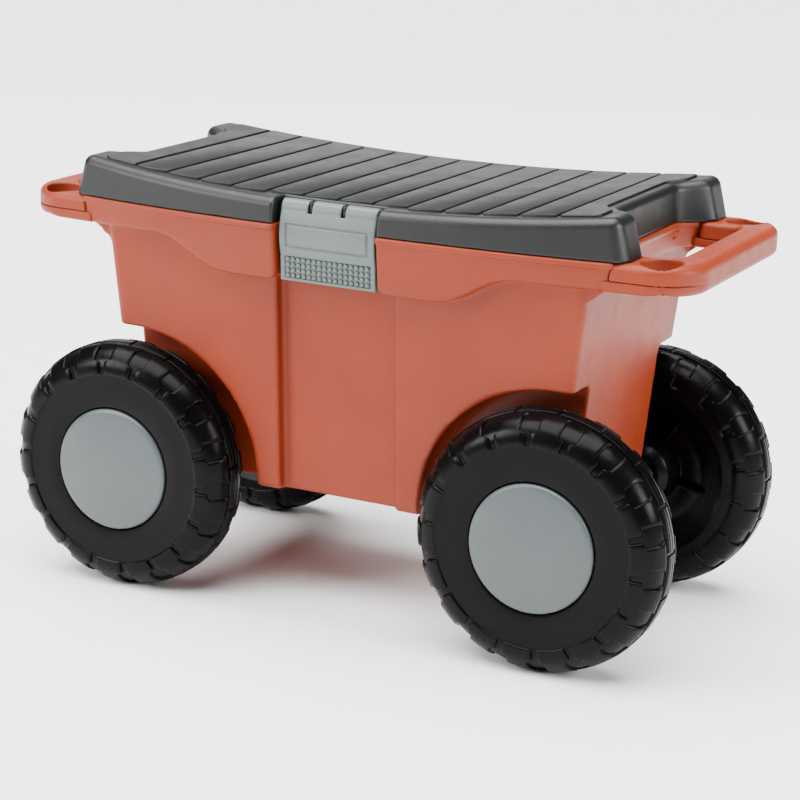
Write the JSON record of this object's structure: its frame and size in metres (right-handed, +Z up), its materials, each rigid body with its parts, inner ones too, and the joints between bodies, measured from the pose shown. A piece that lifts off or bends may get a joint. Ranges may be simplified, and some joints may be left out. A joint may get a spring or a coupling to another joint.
{
  "type": "garden cart",
  "caption": "Rolling garden tool cart and seat: moulded tub on wheels with a hinged slatted lid, a front latch and carrying handles with tool holes at both ends.",
  "frame": {"origin": "on the ground, midway between the two axles and between the left and right wheels", "axes": "+X along the cart towards one handle, -Y towards the front with the latch, +Z up"},
  "size_m": [0.574, 0.2842, 0.3455],
  "materials": {
    "terracotta_plastic": "satin moulded polypropylene",
    "charcoal_plastic": "fine grained moulded polypropylene",
    "silver_grey_plastic": "satin moulded polypropylene",
    "cap_grey_plastic": "smooth satin moulded polypropylene",
    "black_wheel_plastic": "moulded polyethylene with a soft sheen",
    "zinc_steel": "zinc plated steel"
  },
  "bodies": {
    "cart_body": {"tub": "terracotta_plastic", "handle_cover_right": "terracotta_plastic", "handle_cover_left": "terracotta_plastic", "cover_screw_right_front": "zinc_steel", "cover_screw_right_rear": "zinc_steel", "cover_screw_left_front": "zinc_steel", "cover_screw_left_rear": "zinc_steel", "lid_hinge_pin_right": "zinc_steel", "lid_hinge_pin_left": "zinc_steel", "axle_right": "zinc_steel", "axle_left": "zinc_steel", "push_nut_front_right": "zinc_steel", "push_nut_front_left": "zinc_steel", "push_nut_rear_right": "zinc_steel", "push_nut_rear_left": "zinc_steel", "axle_washer_front_right": "zinc_steel", "axle_washer_front_left": "zinc_steel", "axle_washer_rear_right": "zinc_steel", "axle_washer_rear_left": "zinc_steel"},
    "lid_body": {"lid": "charcoal_plastic"},
    "latch_body": {"latch": "silver_grey_plastic"},
    "wheel_body_front_right": {"wheel_front_right": "black_wheel_plastic", "hub_cap_front_right": "cap_grey_plastic"},
    "wheel_body_front_left": {"wheel_front_left": "black_wheel_plastic", "hub_cap_front_left": "cap_grey_plastic"},
    "wheel_body_rear_right": {"wheel_rear_right": "black_wheel_plastic", "hub_cap_rear_right": "cap_grey_plastic"},
    "wheel_body_rear_left": {"wheel_rear_left": "black_wheel_plastic", "hub_cap_rear_left": "cap_grey_plastic"}
  },
  "joints": [
    {"name": "lid_hinge", "type": "hinge", "parent": "cart_body", "child": "lid_body", "pos_m": [0, 0.1336, 0.3133], "axis": [-1, 0, 0], "range_deg": [0, 105]},
    {"name": "latch_hinge", "type": "hinge", "parent": "lid_body", "child": "latch_body", "pos_m": [0, -0.1132, 0.326], "axis": [-1, 0, 0], "range_deg": [0, 110]},
    {"name": "wheel_spin_front_right", "type": "hinge", "parent": "cart_body", "child": "wheel_body_front_right", "pos_m": [0.182, -0.10925, 0.1], "axis": [0, 1, 0], "continuous": true},
    {"name": "wheel_spin_front_left", "type": "hinge", "parent": "cart_body", "child": "wheel_body_front_left", "pos_m": [-0.182, -0.10925, 0.1], "axis": [0, 1, 0], "continuous": true},
    {"name": "wheel_spin_rear_right", "type": "hinge", "parent": "cart_body", "child": "wheel_body_rear_right", "pos_m": [0.182, 0.10925, 0.1], "axis": [0, 1, 0], "continuous": true},
    {"name": "wheel_spin_rear_left", "type": "hinge", "parent": "cart_body", "child": "wheel_body_rear_left", "pos_m": [-0.182, 0.10925, 0.1], "axis": [0, 1, 0], "continuous": true}
  ]
}
